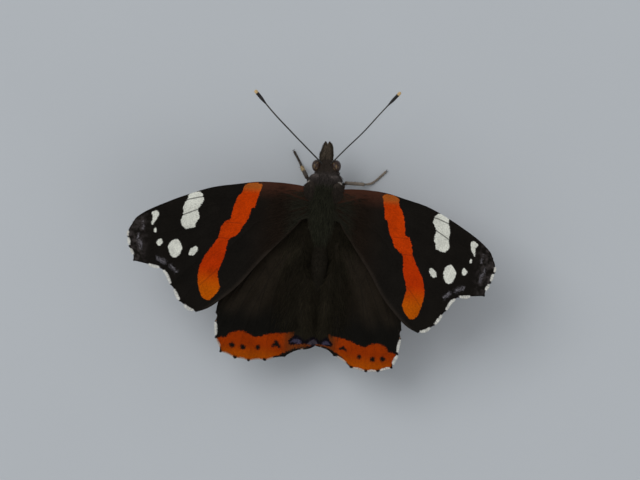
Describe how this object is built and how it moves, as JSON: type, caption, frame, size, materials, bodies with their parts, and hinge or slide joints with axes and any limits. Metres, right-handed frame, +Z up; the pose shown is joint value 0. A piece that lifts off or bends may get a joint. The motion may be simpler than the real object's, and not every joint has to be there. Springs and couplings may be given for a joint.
{
  "type": "butterfly model",
  "caption": "life-size still model of a red admiral butterfly standing with its wings spread, veined wings, banded and spotted, with body, legs and clubbed feelers",
  "frame": {"origin": "the centre of the bounding box in plan, on the floor under the feet", "axes": "+X to the animal's right, +Y towards its head, +Z up"},
  "size_m": [0.0626, 0.0469, 0.0157],
  "materials": {
    "body_hair": "dense dark olive-brown hair on head and thorax",
    "abdomen": "brown scales and short hair, in segments",
    "eye": "reddish-brown facetted eye with a soft shine",
    "palp": "dark scales streaked with buff",
    "antenna": "black, finely ringed, with a pale-tipped club",
    "forewing": "near-black scales with a red-orange band and white spots",
    "hindwing": "dark brown scales with a red-orange hind margin",
    "leg": "pale brown with a darker thigh"
  },
  "bodies": {
    "root": {"head": "body_hair", "eye_left": "eye", "eye_right": "eye", "palp_left": "palp", "palp_right": "palp", "proboscis": "antenna", "antenna_left": "antenna", "antenna_right": "antenna", "thorax": "body_hair", "abdomen": "abdomen", "forewing_left": "forewing", "forewing_right": "forewing", "hindwing_left": "hindwing", "hindwing_right": "hindwing", "leg_fore_left": "leg", "leg_fore_right": "leg", "leg_mid_left": "leg", "leg_mid_right": "leg", "leg_hind_left": "leg", "leg_hind_right": "leg"}
  },
  "joints": []
}
